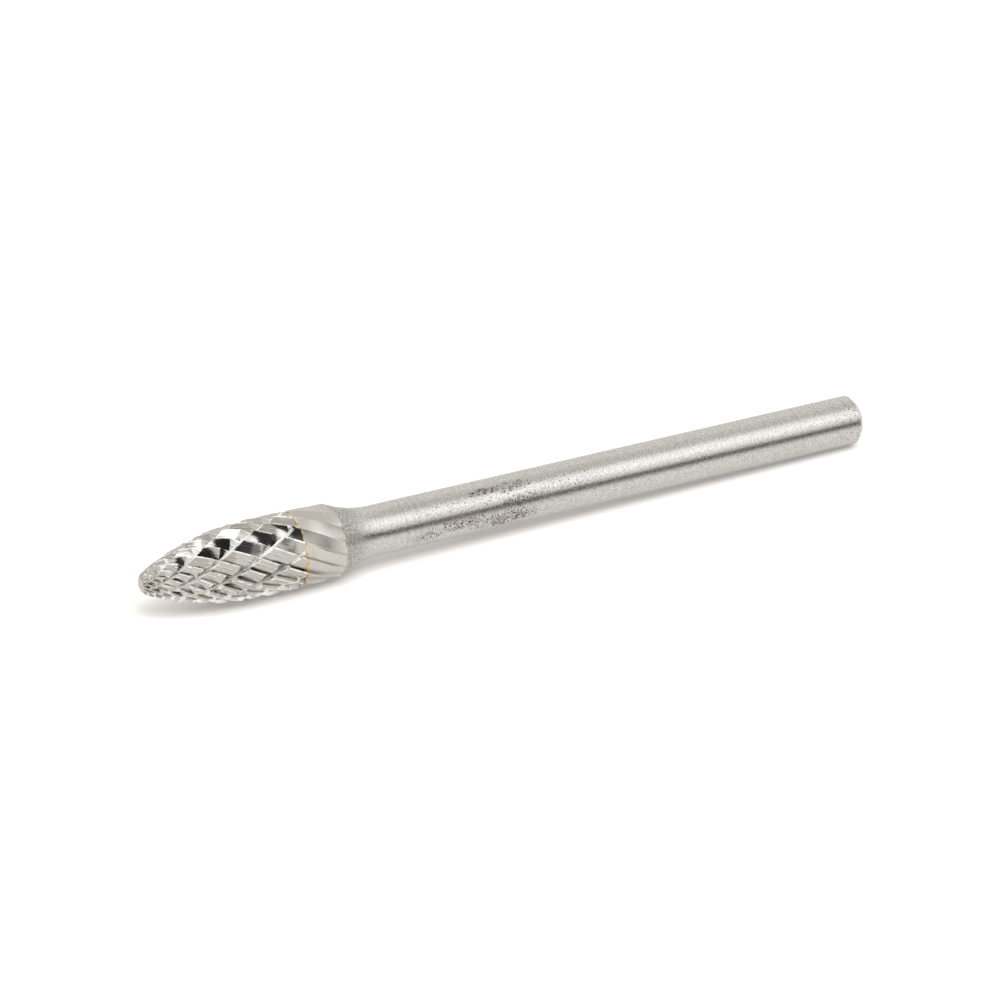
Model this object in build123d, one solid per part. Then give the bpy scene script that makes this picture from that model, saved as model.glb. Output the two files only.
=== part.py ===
from build123d import *
import math
import os

# turned blank: millimetres along the axis from the tip
overallLength = 50.8
shankRadius = 3.175 / 2
endChamfer = 0.35
headRadius = 2.43
noseRadius = 0.87
crestX = 7.7
carbideLength = 10.3
seamThickness = 0.08
collarLength = 2.57
rimDrop = 0.10
lipWidth = 0.09
lipDrop = 0.07
neckLength = 2.86

# right-hand flutes: angles in degrees about the axis, measured at phaseX
phaseX = 8.0
fluteCount = 15
fluteHelix = 28.9
flutePhase = 49.0
fluteDepth = 0.31
rakeWidth = 2.6
runoutStart = 8.8
rimDepth = 0.12
tipOvershoot = 0.03

# left-hand chip breakers
breakerCount = 8
breakerHelix = 28.4
breakerPhase = 7.2
breakerDepth = 0.36
wallWidth = 2.8
rampWidth = 15.0
fadeLength = 1.1
fadeGap = 0.2

# the grinding leaves the nose here, at a shallower depth than on the body
leadIn = 0.15
noseEnd = 0.8
noseTaper = 0.36
noseFloor = 0.26
smallestTurnRadius = 0.9
fullDepthRadius = 2.2
noseDepthShare = 0.25

# cutter sections: turn between two of them, and how far they stand clear of the blank
fluteStep = 6.5
breakerStep = 13.0
cutterClearance = 0.1
wallClearance = 0.25

rimRadius = headRadius - rimDrop
rimX = carbideLength + seamThickness + collarLength
neckX = rimX + lipWidth
neckStart = rimRadius - lipDrop
neckEndX = neckX + neckLength
neckRadius = (neckLength ** 2 + (neckStart - shankRadius) ** 2) / (2 * (neckStart - shankRadius))
ogiveRadius = (headRadius ** 2 - noseRadius ** 2 + (crestX - noseRadius) ** 2) / (2 * (headRadius - noseRadius))
taperRadius = ((rimX - crestX) ** 2 + (headRadius - rimRadius) ** 2) / (2 * (headRadius - rimRadius))
joinX = noseRadius - noseRadius * (crestX - noseRadius) / (ogiveRadius - noseRadius)
joinRadius = noseRadius * (ogiveRadius - headRadius) / (ogiveRadius - noseRadius)
fadeEnd = carbideLength - fadeGap


# radius of each stretch of the blank's outline
def ogive(x):
    return headRadius - ogiveRadius + math.sqrt(ogiveRadius ** 2 - (crestX - x) ** 2)


def taper(x):
    return headRadius - taperRadius + math.sqrt(taperRadius ** 2 - (x - crestX) ** 2)


def neck(x):
    return shankRadius + neckRadius - math.sqrt(neckRadius ** 2 - (neckEndX - x) ** 2)


def headProfile(x):
    if x < crestX:
        return ogive(max(x, joinX))
    return taper(min(x, rimX))


def makeBlank():
    noseX = noseRadius * (1 - math.cos(math.pi / 5))
    ogiveX = (joinX + crestX) / 2
    taperX = (crestX + rimX) / 2
    neckMiddle = (neckX + neckEndX) / 2
    chamferX = overallLength - endChamfer
    tip = (0, 0)
    join = (joinX, joinRadius)
    crest = (crestX, headRadius)
    rim = (rimX, rimRadius)
    lip = (neckX, neckStart)
    neckEnd = (neckEndX, shankRadius)
    endEdge = (chamferX, shankRadius)
    endFace = (overallLength, shankRadius - endChamfer)
    outline = [
        ThreePointArc(tip, (noseX, noseRadius * math.sin(math.pi / 5)), join),
        ThreePointArc(join, (ogiveX, ogive(ogiveX)), crest),
        ThreePointArc(crest, (taperX, taper(taperX)), rim),
        Line(rim, lip),
        ThreePointArc(lip, (neckMiddle, neck(neckMiddle)), neckEnd),
        Line(neckEnd, endEdge),
        Line(endEdge, endFace),
        Line(endFace, (overallLength, 0)),
        Line((overallLength, 0), tip),
    ]
    return revolve(make_face(Curve() + outline), Axis.X)


# degrees that a helix of constant angle turns through for each millimetre of axis
def turnRate(x, helix):
    rise = headProfile(x + 0.001) - headProfile(x)
    stretch = math.hypot(1, rise / 0.001)
    return math.degrees(math.tan(math.radians(helix)) * stretch / max(headProfile(x), smallestTurnRadius))


def turnTo(x, helix):
    steps = 400
    width = (x - phaseX) / steps
    return sum(turnRate(phaseX + (i + 0.5) * width, helix) * width for i in range(steps))


def stations(end, helix, step):
    places = [-leadIn]
    while places[-1] < end:
        places.append(places[-1] + step / turnRate(places[-1], helix))
    return places


def polar(x, r, angle):
    turn = math.radians(angle)
    return Vector(x, -r * math.sin(turn), r * math.cos(turn))


# tooth tips run straight past the nose, so that the flutes leave it cleanly
def tipRadius(x):
    if x < noseEnd:
        return headProfile(noseEnd) - noseTaper * (noseEnd - x)
    return headProfile(x)


def cutDepth(x, depth):
    share = noseDepthShare + (1 - noseDepthShare) * headProfile(x) / fullDepthRadius
    return depth * min(1.0, share)


# the flutes grow shallower towards the collar's rim
def fluteDepthAt(x):
    share = min(1.0, max(0.0, (x - runoutStart) / (rimX - runoutStart)))
    return fluteDepth + (rimDepth - fluteDepth) * share


def floorRadius(x, depth):
    if x < noseEnd:
        bodyFloor = tipRadius(noseEnd) - cutDepth(noseEnd, depth)
        return bodyFloor + (bodyFloor - noseFloor) * (x - noseEnd) / (noseEnd + leadIn)
    return tipRadius(x) - cutDepth(x, depth)


# saw-tooth section carried along the axis and turned with the helix
def makeFluted(end):
    pitch = 360 / fluteCount
    wires = []
    for x in stations(end, fluteHelix, fluteStep):
        start = flutePhase + turnTo(x, fluteHelix)
        points = []
        for k in range(fluteCount):
            points.append(polar(x, floorRadius(x, fluteDepthAt(x)), start + k * pitch - rakeWidth))
            points.append(polar(x, tipRadius(x) + tipOvershoot, start + k * pitch))
        wires.append(Wire.make_polygon(points, close=True))
    return Solid.make_loft(wires)


# the gullets run out in the neck, where the blank is thinner than their floor
def fluteExit():
    floor = floorRadius(rimX, rimDepth) - cutterClearance
    reach = neckRadius ** 2 - (shankRadius + neckRadius - floor) ** 2
    return neckEndX - math.sqrt(max(reach, 0.0))


# steep wall on the shank side, long ramp on the tip side, rising out of the carbide at the seam
def makeBreakerCutter(index):
    start = breakerPhase + index * 360 / breakerCount
    wires = []
    for x in stations(fadeEnd, breakerHelix, breakerStep):
        angle = start - turnTo(x, breakerHelix)
        lift = max(0.0, x - fadeEnd + fadeLength) / fadeLength * (breakerDepth + cutterClearance)
        rim = tipRadius(x) + lift
        floor = floorRadius(x, breakerDepth) + lift
        depth = rim - floor
        wallTop = rim + wallClearance
        rampTop = rim + cutterClearance
        points = [
            polar(x, floor, angle),
            polar(x, wallTop, angle + wallWidth * (wallTop - floor) / depth),
            polar(x, rampTop, angle - rampWidth * (rampTop - floor) / depth),
        ]
        wires.append(Wire.make_polygon(points, close=True))
    return Solid.make_loft(wires)


def slab(x0, x1):
    side = 3 * headRadius
    return Pos((x0 + x1) / 2, 0, 0) * Box(x1 - x0, side, side)


def makePieces():
    exitX = fluteExit()
    seamEnd = carbideLength + seamThickness
    blank = makeBlank()
    ground = (blank & slab(-1, exitX)) & makeFluted(exitX + cutterClearance)
    head = ground & slab(-1, carbideLength)
    for index in range(breakerCount):
        head = head - makeBreakerCutter(index)
    return {
        "carbide_head": head,
        "braze_joint": ground & slab(carbideLength, seamEnd),
        "shank": (ground & slab(seamEnd, exitX + 1)) + (blank & slab(exitX, overallLength + 1)),
    }


# lays the tool on its head and on the lower edge of the shank's end, then centres it
def layDown(pieces):
    endX = overallLength - endChamfer
    tilt = math.degrees(math.asin((headRadius - shankRadius) / (endX - crestX)))
    headLow = (Rot(0, tilt, 0) * pieces["carbide_head"]).bounding_box().min.Z
    endLow = -endX * math.sin(math.radians(tilt)) - shankRadius * math.cos(math.radians(tilt))
    tilt += math.degrees((endLow - headLow) / (endX - crestX))
    laid = {name: Rot(0, tilt, 0) * piece for name, piece in pieces.items()}
    boxes = [piece.bounding_box() for piece in laid.values()]
    middleX = (min(b.min.X for b in boxes) + max(b.max.X for b in boxes)) / 2
    middleY = (min(b.min.Y for b in boxes) + max(b.max.Y for b in boxes)) / 2
    lowest = min(b.min.Z for b in boxes)
    print("tilt", round(tilt, 4), "tip at", round(-middleX, 4), round(-middleY, 4), round(-lowest, 4))
    return {name: Pos(-middleX, -middleY, -lowest) * piece for name, piece in laid.items()}


def main():
    os.makedirs("parts", exist_ok=True)
    for name, piece in layDown(makePieces()).items():
        print(name, "solids", len(piece.solids()), "faces", len(piece.faces()), "volume", round(piece.volume, 3))
        export_step(piece, "parts/" + name + ".step")


main()
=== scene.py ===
import math

import bmesh
import bpy
from mathutils import Euler, Matrix, Vector

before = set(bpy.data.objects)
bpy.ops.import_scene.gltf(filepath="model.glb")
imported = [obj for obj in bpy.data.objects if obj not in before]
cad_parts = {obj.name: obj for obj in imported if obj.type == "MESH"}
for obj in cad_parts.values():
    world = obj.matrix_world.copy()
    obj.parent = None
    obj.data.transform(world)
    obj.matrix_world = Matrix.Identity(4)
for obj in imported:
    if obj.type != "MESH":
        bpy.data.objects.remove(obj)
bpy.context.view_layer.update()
print("frame loaded:", sorted(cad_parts))

# the tool's own axis: millimetres along it from the tip of the head
toolAxis = {
    "tip": (-0.0254072, 0.0000009, 0.0026134),
    "tiltDegrees": 1.1586,
    "millimetre": 0.001,
}


class Value:
    # a number in a material, so that masks are written as sums
    def __init__(self, shade, socket):
        self.shade = shade
        self.socket = socket

    def combine(self, operation, first, second):
        return self.shade.add("ShaderNodeMath", {"operation": operation}, {0: first, 1: second})

    def __add__(self, other):
        return self.combine("ADD", self, other)

    def __radd__(self, other):
        return self.combine("ADD", other, self)

    def __sub__(self, other):
        return self.combine("SUBTRACT", self, other)

    def __rsub__(self, other):
        return self.combine("SUBTRACT", other, self)

    def __mul__(self, other):
        return self.combine("MULTIPLY", self, other)

    def __rmul__(self, other):
        return self.combine("MULTIPLY", other, self)

    def __truediv__(self, other):
        return self.combine("DIVIDE", self, other)


class Shade:
    # one material's node tree
    def __init__(self, owner):
        owner.use_nodes = True
        self.tree = owner.node_tree
        self.tree.nodes.clear()

    def add(self, kind, settings=None, inputs=None, output=0):
        node = self.tree.nodes.new(kind)
        for key, value in (settings or {}).items():
            if key == "stops":
                self.setStops(node.color_ramp, value)
            else:
                setattr(node, key, value)
        for key, value in (inputs or {}).items():
            socket = node.inputs[key]
            if isinstance(value, Value):
                self.tree.links.new(value.socket, socket)
            else:
                socket.default_value = value
        return Value(self, node.outputs[output] if node.outputs else None)

    def setStops(self, ramp, stops):
        while len(ramp.elements) > 1:
            ramp.elements.remove(ramp.elements[-1])
        ramp.elements[0].position = stops[0][0]
        ramp.elements[0].color = colour(stops[0][1])
        for place, tone in stops[1:]:
            ramp.elements.new(place).color = colour(tone)

    def math(self, operation, *values):
        return self.add("ShaderNodeMath", {"operation": operation}, dict(enumerate(values)))

    def ramp(self, factor, stops):
        return self.add("ShaderNodeValToRGB", {"stops": stops}, {0: factor})

    def between(self, value, low, high, start=0.0, end=1.0):
        settings = {"interpolation_type": "SMOOTHSTEP"}
        return self.add("ShaderNodeMapRange", settings, {0: value, 1: low, 2: high, 3: start, 4: end})

    # a Mix node's colours go into sockets 6 and 7, and their mix comes out of 2
    def mixColour(self, factor, first, second):
        settings = {"data_type": "RGBA"}
        first = colour(first) if not isinstance(first, Value) else first
        second = colour(second) if not isinstance(second, Value) else second
        return self.add("ShaderNodeMix", settings, {0: factor, 6: first, 7: second}, 2)

    def noise(self, vector, scale, detail=2.0, roughness=0.5):
        inputs = {"Vector": vector, "Scale": scale, "Detail": detail, "Roughness": roughness}
        return self.add("ShaderNodeTexNoise", None, inputs)

    # noise that is finer or coarser along the tool than across it
    def stretched(self, vector, along, across, detail, roughness):
        inputs = {"Vector": vector, "Scale": (along, across, across)}
        return self.noise(self.add("ShaderNodeMapping", None, inputs), 1.0, detail, roughness)

    # the strength within inner of a place, fading to 0 at outer on both sides
    def near(self, value, place, outer, inner, strength=1.0):
        return self.between(self.math("ABSOLUTE", value - place), outer, inner, 0.0, strength)

    # a value that changes along the tool by a rule, from its tip to reach
    def along(self, x, rule, reach, low, high, steps=40):
        node = self.tree.nodes.new("ShaderNodeFloatCurve")
        points = node.mapping.curves[0].points
        shares = [(rule(reach * step / steps) - low) / (high - low) for step in range(steps + 1)]
        points[0].location = (0.0, shares[0])
        points[-1].location = (1.0, shares[-1])
        for step in range(1, steps):
            points.new(step / steps, shares[step])
        node.mapping.update()
        self.tree.links.new((x / reach).socket, node.inputs["Value"])
        return Value(self, node.outputs[0]) * (high - low) + low

    # millimetres in the tool's own frame
    def toolSpace(self):
        place = self.add("ShaderNodeTexCoord", output="Object")
        turn = (0, math.radians(toolAxis["tiltDegrees"]), 0)
        size = [toolAxis["millimetre"]] * 3
        inputs = {"Vector": place, "Location": toolAxis["tip"], "Rotation": turn, "Scale": size}
        return self.add("ShaderNodeMapping", {"vector_type": "TEXTURE"}, inputs)

    def split(self, vector):
        node = self.tree.nodes.new("ShaderNodeSeparateXYZ")
        self.tree.links.new(vector.socket, node.inputs[0])
        return [Value(self, node.outputs[i]) for i in range(3)]

    # millimetres from the tool's axis
    def fromAxis(self, y, z):
        return self.math("SQRT", y * y + z * z)

    # degrees round the tool's axis from the top
    def roundAxis(self, y, z):
        return self.math("ARCTAN2", y * -1, z) * (180 / math.pi)

    def bump(self, height, strength, distance):
        inputs = {"Strength": strength, "Distance": distance, "Height": height}
        return self.add("ShaderNodeBump", None, inputs)

    def finish(self, surface):
        self.add("ShaderNodeOutputMaterial", None, {0: surface})

    def finishMetal(self, base, metallic, roughness, normal):
        inputs = {"Base Color": base, "Metallic": metallic, "Roughness": roughness, "Normal": normal}
        self.finish(self.add("ShaderNodeBsdfPrincipled", None, inputs))


def colour(tone):
    if isinstance(tone, (int, float)):
        return (tone, tone, tone, 1.0)
    return tuple(tone) + (1.0,) * (4 - len(tone))


# the turned form of the head and its cuts: millimetres from the tip, degrees about the axis
headForm = {
    "nose": 0.87, "crest": 7.7, "radius": 2.43, "rim": 12.95, "rimDrop": 0.10, "seam": 10.3,
    "turnStart": 8.0, "smallestTurnRadius": 0.9,
    "flutes": 15, "fluteHelix": 28.9, "flutePhase": 49.0, "rake": 2.6,
    "breakers": 8, "breakerHelix": 28.4, "breakerPhase": 7.2,
}


def turnedRadius(x):
    nose = headForm["nose"]
    crest = headForm["crest"]
    radius = headForm["radius"]
    if x > crest:
        return radius - headForm["rimDrop"] * ((x - crest) / (headForm["rim"] - crest)) ** 2
    ogive = (radius ** 2 - nose ** 2 + (crest - nose) ** 2) / (2 * (radius - nose))
    join = nose * (1 - (crest - nose) / (ogive - nose))
    if x < join:
        return math.sqrt(max(nose ** 2 - (x - nose) ** 2, 0.0))
    return radius - ogive + math.sqrt(ogive ** 2 - (crest - x) ** 2)


# degrees that a cut turns through from turnStart to x, at one angle to the axis all the way
def turnedBy(x, helix, steps=200, nudge=0.001):
    start = headForm["turnStart"]
    width = (x - start) / steps
    turn = 0.0
    for step in range(steps):
        place = start + (step + 0.5) * width
        slope = (turnedRadius(place + nudge) - turnedRadius(place)) / nudge
        radius = max(turnedRadius(place), headForm["smallestTurnRadius"])
        turn += math.degrees(math.tan(math.radians(helix)) * math.hypot(1, slope) / radius) * width
    return turn


carbideLook = {
    "grey": (0.55, 0.54, 0.52),
    "warm": (0.55, 0.515, 0.475),
    "streak": (0.36, 0.34, 0.32),
    # painted highlight colour, for the rake faces, the tooth backs' highlight lines, the cutting edges,
    # the breakers' walls and the glints
    "edge": (1.0, 0.99, 0.96),
    # painted shade colour, for the gullets and the tooth backs' shade lines
    "gulletShade": (0.09, 0.085, 0.08),
    "braze": (0.55, 0.36, 0.16),
    "roughness": 0.04, "lineRoughness": 0.10, "brightRoughness": 0.25,
    "bump": 0.25, "bumpHeight": 0.00001,
    # how far the turned form is followed along the tool, and the largest radius and turn on it
    "reach": 13.0, "mostRadius": 3.0, "mostTurn": 260.0,
    # lines and dashes on the flutes: for each millimetre along the tool and each degree round it
    "lineScale": (0.7, 0.5), "dashScale": (2.2, 0.22),
    # noises: scale, detail, and roughness where it isn't 0.5
    "lineNoise": (1.0, 3.0, 0.6), "dashNoise": (1.0, 2.0), "patchNoise": (1.3, 2.0),
    "breakNoise": (3.0, 2.0, 0.6), "smearNoise": (5.0, 2.0),
    # where a noise starts and ends to show, and how strongly
    "patchRange": (0.35, 0.65), "streakRange": (0.5, 0.75, 0.0, 0.35), "backLineRange": (0.42, 0.55),
    "landRange": (0.38, 0.5), "wallRange": (0.3, 0.4), "dashRange": (0.61, 0.65),
    # millimetres along the tool over which a mark comes or goes, the smear's counted from the seam
    "noseFade": (0.9, 1.6), "seamFade": (10.0, 8.6), "dashFade": (5.5, 3.5), "smearFade": (0.16, 0.26),
    "smearReach": 0.5,
    # millimetres under the head's turned form
    "landDepth": (0.045, 0.015), "backDepth": (0.04, 0.09), "wallDepth": (0.03, 0.08),
    # degrees from the gullet's floor, where the painted gullet shade and the painted rake highlight sit
    "gulletShadeWidth": (1.0, 0.2), "rakeFade": (0.4, 1.2),
    # degrees from a cutting edge or a breaker's floor, for the painted shade and highlight lines: place,
    # outer and inner half width
    "paintedShadeLine": (11.5, 1.1, 0.4), "paintedHighlightLine": (9.7, 1.0, 0.4), "wallHighlightLine": (0.9, 3.4, 2.0),
    "gulletShadeStrength": 0.45, "rakeHighlightStrength": 0.8, "shadeLineStrength": 0.5, "highlightLineStrength": 0.55,
}


def makeCarbide():
    look = carbideLook
    form = headForm
    material = bpy.data.materials.new("groundCarbide")
    shade = Shade(material)
    space = shade.toolSpace()
    x, y, z = shade.split(space)
    angle = shade.roundAxis(y, z)
    turned = shade.along(x, turnedRadius, look["reach"], 0.0, look["mostRadius"])
    depth = turned - shade.fromAxis(y, z)

    def turn(helix):
        most = look["mostTurn"]
        return shade.along(x, lambda place: turnedBy(place, helix), look["reach"], -most, most)

    onFlute = angle - turn(form["fluteHelix"])
    onBreaker = angle + turn(form["breakerHelix"])
    # degrees from the last cutting edge, and from the nearest chip breaker's floor
    pitch = 360 / form["flutes"]
    tooth = shade.math("WRAP", onFlute - form["flutePhase"], pitch, 0.0)
    half = 180 / form["breakers"]
    breaker = shade.math("WRAP", onBreaker - form["breakerPhase"], half, -half)

    def flutePattern(scale):
        return shade.add("ShaderNodeCombineXYZ", None, {0: x * scale[0], 1: onFlute * scale[1]})

    # grinding lines run along the flutes
    lines = shade.noise(flutePattern(look["lineScale"]), *look["lineNoise"])
    patches = shade.noise(space, *look["patchNoise"])
    base = shade.mixColour(shade.between(patches, *look["patchRange"]), look["grey"], look["warm"])
    base = shade.mixColour(shade.between(lines, *look["streakRange"]), base, look["streak"])
    # painted shade in the gullets and painted highlights on the rake faces
    pastNose = shade.between(x, *look["noseFade"])
    cut = pastNose * shade.between(x, *look["seamFade"])
    floor = pitch - form["rake"]
    gulletShade = shade.near(tooth, floor, *look["gulletShadeWidth"]) * cut
    base = shade.mixColour(gulletShade * look["gulletShadeStrength"], base, look["gulletShade"])
    rake = shade.between(tooth - floor, *look["rakeFade"]) * cut
    base = shade.mixColour(rake * look["rakeHighlightStrength"], base, look["edge"])
    # a painted shade line and a painted highlight line run along each tooth's back, broken here and there
    broken = shade.noise(space, *look["breakNoise"])
    paintedBackLines = shade.between(broken, *look["backLineRange"]) * cut * shade.between(depth, *look["backDepth"])
    paintedShadeLine = shade.near(tooth, *look["paintedShadeLine"]) * paintedBackLines
    base = shade.mixColour(paintedShadeLine * look["shadeLineStrength"], base, look["gulletShade"])
    paintedHighlightLine = shade.near(tooth, *look["paintedHighlightLine"]) * paintedBackLines
    base = shade.mixColour(paintedHighlightLine * look["highlightLineStrength"], base, look["edge"])
    # painted highlights along the cutting edges and the breakers' walls
    landHighlight = shade.between(depth, *look["landDepth"]) * pastNose * shade.between(broken, *look["landRange"])
    wallHighlight = shade.near(breaker, *look["wallHighlightLine"]) * shade.between(depth, *look["wallDepth"])
    wallHighlight = wallHighlight * shade.between(broken, *look["wallRange"])
    # painted highlights: short bright glints where the cuts crowd together towards the nose
    noseGlints = shade.noise(flutePattern(look["dashScale"]), *look["dashNoise"])
    noseGlints = shade.between(noseGlints, *look["dashRange"]) * shade.between(x, *look["dashFade"])
    # all the painted highlights together
    bright = shade.math("MAXIMUM", shade.math("MAXIMUM", landHighlight, wallHighlight), noseGlints)
    base = shade.mixColour(bright, base, look["edge"])
    # braze smeared along the carbide's edge
    smeared = x + shade.noise(space, *look["smearNoise"]) * look["smearReach"] - form["seam"]
    base = shade.mixColour(shade.between(smeared, *look["smearFade"]), base, look["braze"])
    rough = lines * look["lineRoughness"] + bright * look["brightRoughness"] + look["roughness"]
    shade.finishMetal(base, 1.0, rough, shade.bump(lines, look["bump"], look["bumpHeight"]))
    return material


brazeLook = {
    "pale": (0.80, 0.66, 0.42),
    "gold": (0.86, 0.60, 0.26),
    "orange": (0.95, 0.50, 0.12),
    "brown": (0.34, 0.16, 0.11),
    # the braze's colours change round the joint, palest on top: shares of a turn, from underneath
    "round": [
        (0.0, "gold"), (0.2, "brown"), (0.32, "gold"), (0.46, "pale"), (0.62, "pale"), (0.70, "gold"),
        (0.755, "orange"), (0.785, "orange"), (0.815, "brown"), (0.93, "brown"), (1.0, "gold")],
    # noises: scale, detail, and roughness where it isn't 0.5
    "driftNoise": (1.4, 2.0), "drift": 0.06,
    "blotchNoise": (3.2, 2.0, 0.6), "blotchRange": (0.52, 0.60, 0.0, 0.85),
    "grainNoise": (9.0, 2.0), "bump": 0.4, "bumpHeight": 0.00001,
    "metallic": 0.85, "roughness": 0.32,
}


def makeBraze():
    look = brazeLook
    material = bpy.data.materials.new("goldenBraze")
    shade = Shade(material)
    space = shade.toolSpace()
    y, z = shade.split(space)[1:]
    angle = shade.roundAxis(y, z)
    share = (angle + 180) / 360 + (shade.noise(space, *look["driftNoise"]) - 0.5) * look["drift"]
    base = shade.ramp(share, [(place, look[name]) for place, name in look["round"]])
    blotches = shade.noise(space, *look["blotchNoise"])
    base = shade.mixColour(shade.between(blotches, *look["blotchRange"]), base, look["brown"])
    normal = shade.bump(shade.noise(space, *look["grainNoise"]), look["bump"], look["bumpHeight"])
    shade.finishMetal(base, look["metallic"], look["roughness"], normal)
    return material


steelLook = {
    "bright": (0.72, 0.705, 0.68),
    "dull": (0.515, 0.50, 0.475),
    "collar": (0.66, 0.62, 0.575),
    "blasted": (0.27, 0.26, 0.24),
    "pit": (0.10, 0.075, 0.065),
    "rust": (0.30, 0.235, 0.19),
    "roughness": 0.19, "blastRoughness": 0.15, "pitRoughness": 0.3,
    "grindingRoughness": 0.08, "collarRoughness": 0.06,
    "bump": 0.6, "bumpHeight": 0.000016, "grainHeight": 3.0,
    # the neck's profile: millimetres along the tool, and radii
    "neck": {"start": 12.95, "end": 15.9, "shankRadius": 1.5875, "radius": 6.418, "blur": 0.03},
    # millimetres under the neck's profile, then along the tool, over which a finish comes or goes
    "neckDepth": (0.035, 0.02),
    "blastFade": (15.3, 13.6), "shankFade": (13.8, 15.0), "collarFade": (13.35, 12.75),
    # noises: scales along and across, detail and roughness
    "grinding": (14.0, 8.0, 2.0, 0.65), "streaks": (7.0, 0.7, 2.0, 0.5),
    "grain": (11.0, 10.0, 2.0, 0.6), "specks": (11.0, 9.0, 2.0, 0.6),
    # where a noise starts and ends to show, and how strongly
    "speckleRange": (0.34, 0.66), "streakRange": (0.55, 0.72, 0.0, 0.18),
    "grainRange": (0.45, 0.58, 0.0, 0.9), "ringRange": (0.4, 0.55),
    "speckleOffShank": 0.2, "collarStrength": 0.8,
    # stains: place along the axis, degrees round it, half width, half angle and strength
    "stains": [
        (23.3, 30, 2.0, 15, 0.95), (25.2, 32, 2.2, 24, 0.8), (25.6, 68, 2.6, 24, 0.85),
        (24.6, 106, 3.8, 32, 0.85), (21.5, 92, 3.0, 24, 0.85), (19.2, 104, 2.0, 22, 0.7),
        (29.0, 60, 4.5, 50, 0.45), (21.5, 45, 5.0, 40, 0.4), (24.0, 215, 4.4, 60, 0.8),
        (27.5, -60, 3.5, 40, 0.6), (50.0, 60, 2.0, 90, 0.45)],
    # how pits and tint gather in the stains; tintNoise is a scale and a detail
    "pitsInStains": 0.22, "pitRange": (0.71, 0.76),
    "tintNoise": (2.2, 2.0), "tintInStains": 0.4, "tintRange": (0.78, 1.0, 0.0, 0.6),
    # rings: place along the axis and width
    "rings": [(46.1, 0.035), (17.6, 0.05), (18.1, 0.03), (18.5, 0.05), (19.0, 0.03)],
    "ringStrength": 0.35,
}


def makeSteel():
    look = steelLook
    material = bpy.data.materials.new("groundSteel")
    shade = Shade(material)
    space = shade.toolSpace()
    x, y, z = shade.split(space)
    angle = shade.roundAxis(y, z)
    # the blasted neck is what the flutes' cuts left standing
    neck = look["neck"]
    reach = shade.math("MAXIMUM", neck["end"] - x, 0.0)
    turned = neck["shankRadius"] + neck["radius"] - shade.math("SQRT", neck["radius"] ** 2 - reach * reach)
    pastRim = shade.between(x, neck["start"] - neck["blur"], neck["start"] + neck["blur"])
    onNeck = shade.between(turned - shade.fromAxis(y, z), *look["neckDepth"]) * pastRim
    blast = onNeck * shade.between(x, *look["blastFade"])
    onShank = shade.between(x, *look["shankFade"])
    onCollar = shade.between(x, *look["collarFade"])
    grinding = shade.stretched(space, *look["grinding"])
    streaks = shade.stretched(space, *look["streaks"])
    grain = shade.stretched(space, *look["grain"])
    speckled = onShank * (1 - look["speckleOffShank"]) + look["speckleOffShank"]
    speckle = (shade.between(grinding, *look["speckleRange"]) - 0.5) * speckled + 0.5
    base = shade.mixColour(speckle, look["dull"], look["bright"])
    base = shade.mixColour(onCollar * look["collarStrength"], base, look["collar"])
    base = shade.mixColour(shade.between(streaks, *look["streakRange"]), base, look["rust"])
    base = shade.mixColour(blast * shade.between(grain, *look["grainRange"]), base, look["blasted"])
    # rust pits gather in stains
    stained = None
    for place, bearing, width, spread, strength in look["stains"]:
        around = shade.math("WRAP", angle - bearing, -180.0, 180.0) / spread
        lengthways = (x - place) / width
        stain = shade.between(around * around + lengthways * lengthways, 1.0, 0.0, 0.0, strength)
        stained = stain if stained is None else shade.math("MAXIMUM", stained, stain)
    tint = shade.noise(space, *look["tintNoise"]) + stained * look["tintInStains"]
    base = shade.mixColour(shade.between(tint, *look["tintRange"]), base, look["rust"])
    specks = shade.stretched(space, *look["specks"])
    pits = shade.between(specks + stained * look["pitsInStains"], *look["pitRange"])
    base = shade.mixColour(pits, base, look["pit"])
    ringed = shade.between(grinding, *look["ringRange"])
    for place, width in look["rings"]:
        ring = shade.near(x, place, width * 2, width / 2, look["ringStrength"])
        base = shade.mixColour(ring * ringed, base, look["blasted"])
    rough = look["roughness"] + blast * look["blastRoughness"] + pits * look["pitRoughness"]
    rough = rough + grinding * look["grindingRoughness"] + onCollar * look["collarRoughness"]
    height = grinding * onShank + grain * blast * look["grainHeight"] - pits
    shade.finishMetal(base, 1.0, rough, shade.bump(height, look["bump"], look["bumpHeight"]))
    return material


finishes = {"carbide_head": makeCarbide(), "braze_joint": makeBraze(), "shank": makeSteel()}
for name, material in finishes.items():
    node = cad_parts[name]
    node.data.materials.clear()
    node.data.materials.append(material)
print("finishes:", len(finishes))

# the floor: metres, and its tones to the camera and in the metal
stageLook = {
    "halfWidth": 3.0, "tone": 0.92, "tint": (1.0, 0.98, 0.965), "glow": 0.09,
    "metalTone": 0.56, "metalGlow": 0.34, "paintedFarTone": 0.2,
    "near": -0.004, "far": -0.022, "left": -0.011, "right": -0.002,
}


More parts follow.
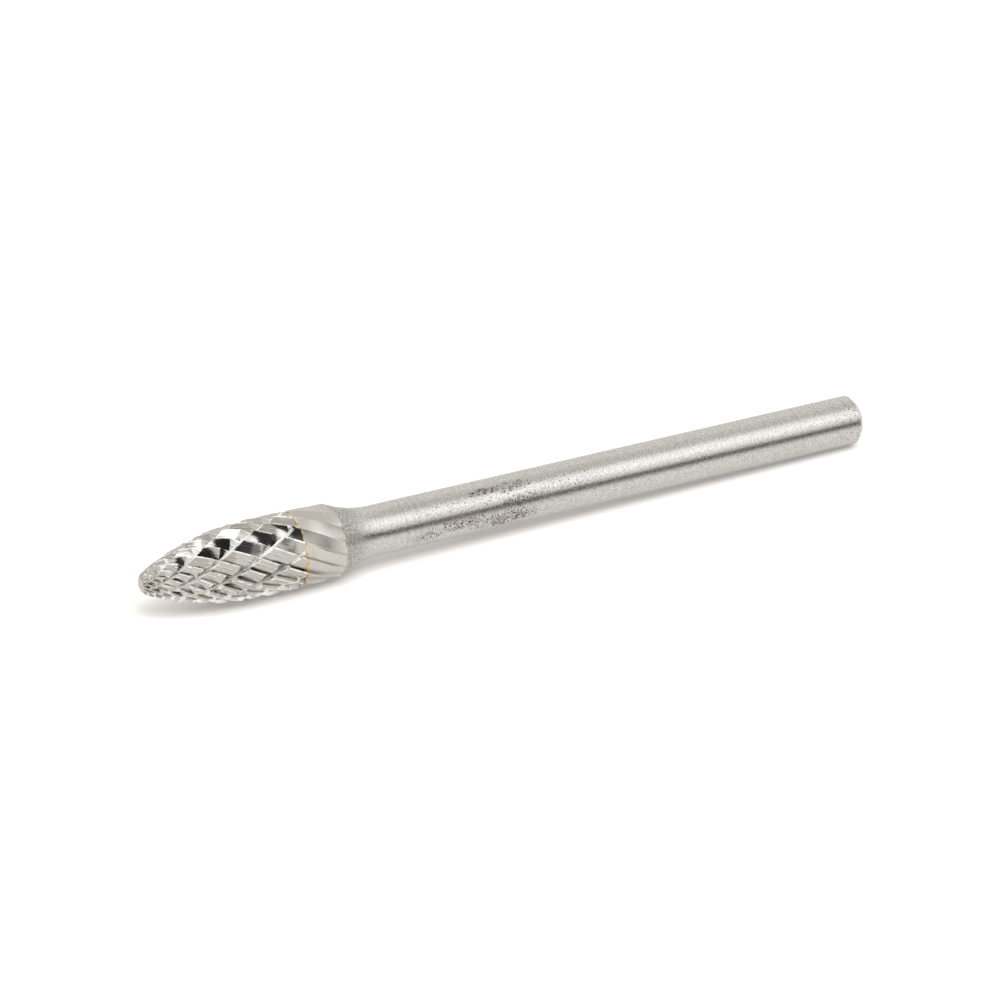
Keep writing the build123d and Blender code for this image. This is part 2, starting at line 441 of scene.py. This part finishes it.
def makeFloor():
    look = stageLook
    material = bpy.data.materials.new("paleFloor")
    shade = Shade(material)
    x, y = shade.split(shade.add("ShaderNodeTexCoord", output="Object"))[:2]
    byCamera = shade.add("ShaderNodeLightPath", output="Is Camera Ray")
    byMetal = shade.add("ShaderNodeLightPath", output="Is Glossy Ray")
    # to the metal only, the floor is painted: a painted pool of light round the tool that fades to painted
    # dark in front of it
    fade = shade.between(y, look["near"], look["far"]) * shade.between(x, look["left"], look["right"])
    inMetal = fade * (look["paintedFarTone"] - look["metalTone"]) + look["metalTone"]
    tone = (byMetal * (inMetal - 1.0) + 1.0) * look["tone"]
    paint = shade.mixColour(tone, 0.0, look["tint"])
    plain = shade.add("ShaderNodeBsdfDiffuse", None, {"Color": paint})
    # the floor glows evenly to the camera, and to the metal a painted glow near the tool lifts its shadow
    glow = byCamera * look["glow"] + byMetal * (1.0 - fade) * look["metalGlow"]
    pale = shade.add("ShaderNodeEmission", None, {"Color": colour(1.0), "Strength": glow})
    shade.finish(shade.add("ShaderNodeAddShader", None, {0: plain, 1: pale}))
    shape = bmesh.new()
    bmesh.ops.create_grid(shape, x_segments=1, y_segments=1, size=look["halfWidth"])
    mesh = bpy.data.meshes.new("floor")
    shape.to_mesh(mesh)
    shape.free()
    mesh.materials.append(material)
    floor = bpy.data.objects.new("floor", mesh)
    bpy.context.collection.objects.link(floor)


# the room, in degrees: walls by height and brightness,
# and patches by bearing, height, radius, soft edge and brightness
skyLook = {
    "backdrop": 1.0,
    "walls": [(-90, 0.80), (0, 0.83), (20, 0.88), (45, 0.95), (62, 0.68), (90, 0.74)],
    "wallTint": (1.015, 1.0, 0.96),
    "patchTint": (0.99, 1.0, 1.005),
    "patches": [
        (-48, 43, 15, 16, 1.75), (-33, 50, 10, 12, 1.4), (-60, 30, 8, 12, 1.3),
        (-160, 78, 13, 7, 2.2), (-140, 70, 8, 5, 2.0), (-126, 44, 10, 4, 0.05),
        (-108, 56, 12, 3, 0.03), (-106, 40, 12, 3, 0.03), (-88, 40, 11, 3, 0.05),
        (-94, 24, 9, 3, 0.08), (-91, 12, 6, 4, 0.3), (-77, 55, 5, 3, 1.9),
        (-80, 4, 3, 8, 0.2), (-68, 4, 6.5, 6, 0.02), (-56, 4, 7.5, 6, 0.02),
        (-44, 4, 7, 6, 0.02), (-32, 4, 6, 8, 0.1)],
}


def makeSky():
    look = skyLook
    world = bpy.data.worlds.new("studio")
    bpy.context.scene.world = world
    shade = Shade(world)
    x, y, z = shade.split(shade.add("ShaderNodeTexCoord", output="Generated"))
    height = shade.math("ARCSINE", z) / math.pi + 0.5
    stops = []
    for lift, strength in look["walls"]:
        stops.append(((lift + 90) / 180, [strength * part for part in look["wallTint"]]))
    tone = shade.ramp(height, stops)
    for bearing, lift, radius, edge, strength in look["patches"]:
        centre = Vector((1, 0, 0))
        centre.rotate(Euler((0, -math.radians(lift), math.radians(bearing))))
        facing = x * centre.x + y * centre.y + z * centre.z
        rim = math.cos(math.radians(radius + edge / 2))
        core = math.cos(math.radians(max(radius - edge / 2, 0)))
        inside = shade.between(facing, rim, core)
        tone = shade.mixColour(inside, tone, [strength * part for part in look["patchTint"]])
    byCamera = shade.add("ShaderNodeLightPath", output="Is Camera Ray")
    tone = shade.mixColour(byCamera, tone, look["backdrop"])
    sky = shade.add("ShaderNodeBackground", None, {0: tone})
    shade.add("ShaderNodeOutputWorld", None, {0: sky})


# one soft lamp: metres and watts
lampLook = {"place": (-0.03, -0.2, 0.34), "size": 0.28, "power": 1.0}


def makeLamp():
    light = bpy.data.lights.new("softbox", "AREA")
    light.shape = "DISK"
    light.size = lampLook["size"]
    light.energy = lampLook["power"]
    lamp = bpy.data.objects.new("softbox", light)
    lamp.location = lampLook["place"]
    lamp.rotation_euler = (-Vector(lampLook["place"])).to_track_quat("-Z", "Y").to_euler()
    lamp.visible_glossy = False
    bpy.context.collection.objects.link(lamp)


# the view is set by where the tool's tip and axis lie in it:
# degrees, a direction and metres, then the lens and sensor in millimetres
cameraLook = {
    "elevation": 27.15,
    "axis": (0.87412073, 0.20451925, -0.4405506),
    "tip": (-0.021783, -0.005121, -0.355167),
    "lens": 211.92,
    "sensor": 36,
    "nearest": 0.01,
}


def makeCamera():
    look = cameraLook
    lift = math.radians(look["elevation"])
    up = Vector((0, math.cos(lift), math.sin(lift)))
    along = Vector(look["axis"])
    along = (along - along.dot(up) * up).normalized()
    toCamera = Matrix((along, up.cross(along), up)).transposed()
    back = toCamera.transposed()
    eye = back @ (toCamera @ Vector(toolAxis["tip"]) - Vector(look["tip"]))
    lens = bpy.data.cameras.new("viewer")
    lens.sensor_width = look["sensor"]
    lens.lens = look["lens"]
    lens.clip_start = look["nearest"]
    camera = bpy.data.objects.new("viewer", lens)
    camera.matrix_world = Matrix.Translation(eye) @ back.to_4x4()
    bpy.context.collection.objects.link(camera)
    bpy.context.scene.camera = camera


makeFloor()
makeSky()
makeLamp()
makeCamera()
bpy.context.scene.view_settings.view_transform = "Standard"
print("stage ready")
